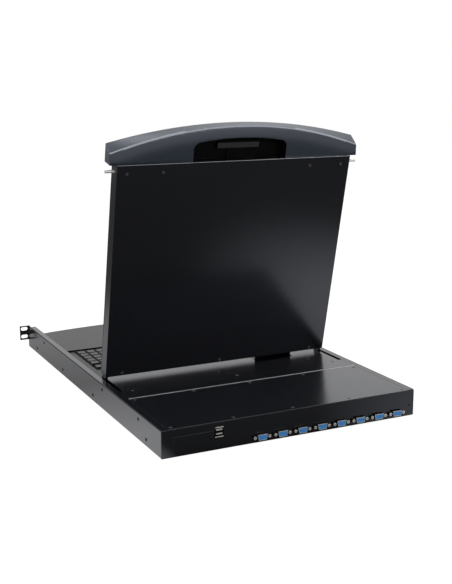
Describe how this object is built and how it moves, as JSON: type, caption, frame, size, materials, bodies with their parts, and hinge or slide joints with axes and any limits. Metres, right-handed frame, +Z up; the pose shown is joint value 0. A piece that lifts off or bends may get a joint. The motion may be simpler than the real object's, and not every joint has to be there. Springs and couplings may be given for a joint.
{
  "type": "rackmount console drawer",
  "caption": "One-unit rackmount console drawer in black steel: keyboard tray on telescopic slides, display lid on a friction hinge, slate handle with a release lever, video ports behind",
  "frame": {"origin": "centre of the four rack-ear slots, on the front face of the ears", "axes": "+Z up, +Y from the rack face to the rear panel, +X to the user's right when the user faces the keyboard"},
  "size_m": [0.4826, 0.7445, 0.4713],
  "materials": {
    "black_powder_coat": "semi-gloss black paint on folded steel",
    "zinc_steel": "bright zinc plated steel",
    "black_screw": "black oxide steel screws",
    "bright_steel": "nickel plated steel",
    "blue_plastic": "blue moulded connector insert",
    "slate_plastic": "dark slate blue moulding, satin",
    "black_plastic": "fine textured black moulding",
    "board_green": "green coated circuit board",
    "screen_glass": "dark glass in front of the display"
  },
  "bodies": {
    "case": {"blank_plate": "black_powder_coat", "board_posts": "zinc_steel", "case_pan": "black_powder_coat", "cover_screws": "black_screw", "cross_member": "zinc_steel", "power_supply": "zinc_steel", "rack_ear_left": "black_powder_coat", "rack_ear_right": "black_powder_coat", "rear_cover": "black_powder_coat", "rear_panel": "black_powder_coat", "rear_screws": "black_screw", "side_screws": "black_screw", "slide_outer_left": "zinc_steel", "slide_outer_right": "zinc_steel", "switch_board": "board_green", "usb_shell": "bright_steel", "usb_tongues": "black_plastic", "vga_inserts": "blue_plastic", "vga_jackscrews": "bright_steel", "vga_shells": "bright_steel"},
    "slide_mid_left": {"slide_mid_left": "zinc_steel"},
    "slide_mid_right": {"slide_mid_right": "zinc_steel"},
    "tray": {"tray_pan": "black_powder_coat", "palm_rest": "black_plastic", "keyboard_deck": "black_powder_coat", "keyboard_base": "black_plastic", "touch_pad": "black_plastic", "hinge_cover": "black_powder_coat", "hinge_cover_screws": "black_screw", "cover_rail": "zinc_steel", "hinge_bracket_left": "zinc_steel", "hinge_bracket_right": "zinc_steel", "slide_inner_left": "zinc_steel", "slide_inner_right": "zinc_steel"},
    "lid": {"lid_back": "black_powder_coat", "screen_frame": "black_plastic", "grip_handle": "slate_plastic", "screen_glass": "screen_glass", "display_module": "black_plastic", "hinge_arm_left": "black_powder_coat", "hinge_arm_right": "black_powder_coat", "hinge_pins": "bright_steel", "lid_screws": "black_screw", "latch_guides": "zinc_steel"},
    "reset_button": {"reset_button": "black_plastic"},
    "touch_button_left": {"touch_button_left": "black_plastic"},
    "touch_button_right": {"touch_button_right": "black_plastic"},
    "release_lever": {"release_lever": "zinc_steel"},
    "latch_pin_left": {"latch_pin_left": "bright_steel"},
    "latch_pin_right": {"latch_pin_right": "bright_steel"},
    "key_row_1": {"key_row_1": "black_plastic"},
    "key_row_2": {"key_row_2": "black_plastic"},
    "key_row_3": {"key_row_3": "black_plastic"},
    "key_row_4": {"key_row_4": "black_plastic"},
    "key_row_5": {"key_row_5": "black_plastic"},
    "key_row_6": {"key_row_6": "black_plastic"},
    "menu_button_1": {"menu_button_1": "black_plastic"},
    "menu_button_2": {"menu_button_2": "black_plastic"},
    "menu_button_3": {"menu_button_3": "black_plastic"},
    "menu_button_4": {"menu_button_4": "black_plastic"}
  },
  "joints": [
    {"name": "tray_slide", "type": "slide", "parent": "case", "child": "tray", "axis": [0, -1, 0], "range_m": [0, 0.43]},
    {"name": "slide_mid_left", "type": "slide", "parent": "case", "child": "slide_mid_left", "axis": [0, -1, 0], "range_m": [0, 0.215]},
    {"name": "slide_mid_right", "type": "slide", "parent": "case", "child": "slide_mid_right", "axis": [0, -1, 0], "range_m": [0, 0.215]},
    {"name": "lid_hinge", "type": "hinge", "parent": "tray", "child": "lid", "pos_m": [0, 0.401, -0.00814], "axis": [-1, 0, 0], "range_deg": [-102.26, 8]},
    {"name": "release_lever", "type": "slide", "parent": "lid", "child": "release_lever", "axis": [0, 0.2123, 0.9772], "range_m": [0, 0.007], "stiffness_N_per_m": 300, "springref_m": -0.003},
    {"name": "latch_pin_left", "type": "slide", "parent": "lid", "child": "latch_pin_left", "axis": [-1, 0, 0], "range_m": [0, 0.007], "stiffness_N_per_m": 200, "springref_m": -0.003},
    {"name": "latch_pin_right", "type": "slide", "parent": "lid", "child": "latch_pin_right", "axis": [1, 0, 0], "range_m": [0, 0.007], "stiffness_N_per_m": 200, "springref_m": -0.003},
    {"name": "key_row_1", "type": "slide", "parent": "tray", "child": "key_row_1", "axis": [0, 0, -1], "range_m": [0, 0.002], "stiffness_N_per_m": 700, "springref_m": -0.002},
    {"name": "key_row_2", "type": "slide", "parent": "tray", "child": "key_row_2", "axis": [0, 0, -1], "range_m": [0, 0.002], "stiffness_N_per_m": 700, "springref_m": -0.002},
    {"name": "key_row_3", "type": "slide", "parent": "tray", "child": "key_row_3", "axis": [0, 0, -1], "range_m": [0, 0.002], "stiffness_N_per_m": 700, "springref_m": -0.002},
    {"name": "key_row_4", "type": "slide", "parent": "tray", "child": "key_row_4", "axis": [0, 0, -1], "range_m": [0, 0.002], "stiffness_N_per_m": 700, "springref_m": -0.002},
    {"name": "key_row_5", "type": "slide", "parent": "tray", "child": "key_row_5", "axis": [0, 0, -1], "range_m": [0, 0.002], "stiffness_N_per_m": 700, "springref_m": -0.002},
    {"name": "key_row_6", "type": "slide", "parent": "tray", "child": "key_row_6", "axis": [0, 0, -1], "range_m": [0, 0.002], "stiffness_N_per_m": 700, "springref_m": -0.002},
    {"name": "touch_button_left", "type": "slide", "parent": "tray", "child": "touch_button_left", "axis": [0, 0, -1], "range_m": [0, 0.0005], "stiffness_N_per_m": 800, "springref_m": -0.001},
    {"name": "touch_button_right", "type": "slide", "parent": "tray", "child": "touch_button_right", "axis": [0, 0, -1], "range_m": [0, 0.0005], "stiffness_N_per_m": 800, "springref_m": -0.001},
    {"name": "menu_button_1", "type": "slide", "parent": "lid", "child": "menu_button_1", "axis": [0, 0.9772, -0.2123], "range_m": [0, 0.0005], "stiffness_N_per_m": 800, "springref_m": -0.001},
    {"name": "menu_button_2", "type": "slide", "parent": "lid", "child": "menu_button_2", "axis": [0, 0.9772, -0.2123], "range_m": [0, 0.0005], "stiffness_N_per_m": 800, "springref_m": -0.001},
    {"name": "menu_button_3", "type": "slide", "parent": "lid", "child": "menu_button_3", "axis": [0, 0.9772, -0.2123], "range_m": [0, 0.0005], "stiffness_N_per_m": 800, "springref_m": -0.001},
    {"name": "menu_button_4", "type": "slide", "parent": "lid", "child": "menu_button_4", "axis": [0, 0.9772, -0.2123], "range_m": [0, 0.0005], "stiffness_N_per_m": 800, "springref_m": -0.001},
    {"name": "reset_button", "type": "slide", "parent": "case", "child": "reset_button", "axis": [0, -1, 0], "range_m": [0, 0.0005], "stiffness_N_per_m": 800, "springref_m": -0.001}
  ],
  "couplings": [
    {"joint": "slide_mid_left", "follows": "tray_slide", "ratio": 0.5},
    {"joint": "slide_mid_right", "follows": "tray_slide", "ratio": 0.5},
    {"joint": "latch_pin_left", "follows": "release_lever", "ratio": 1},
    {"joint": "latch_pin_right", "follows": "release_lever", "ratio": 1}
  ]
}
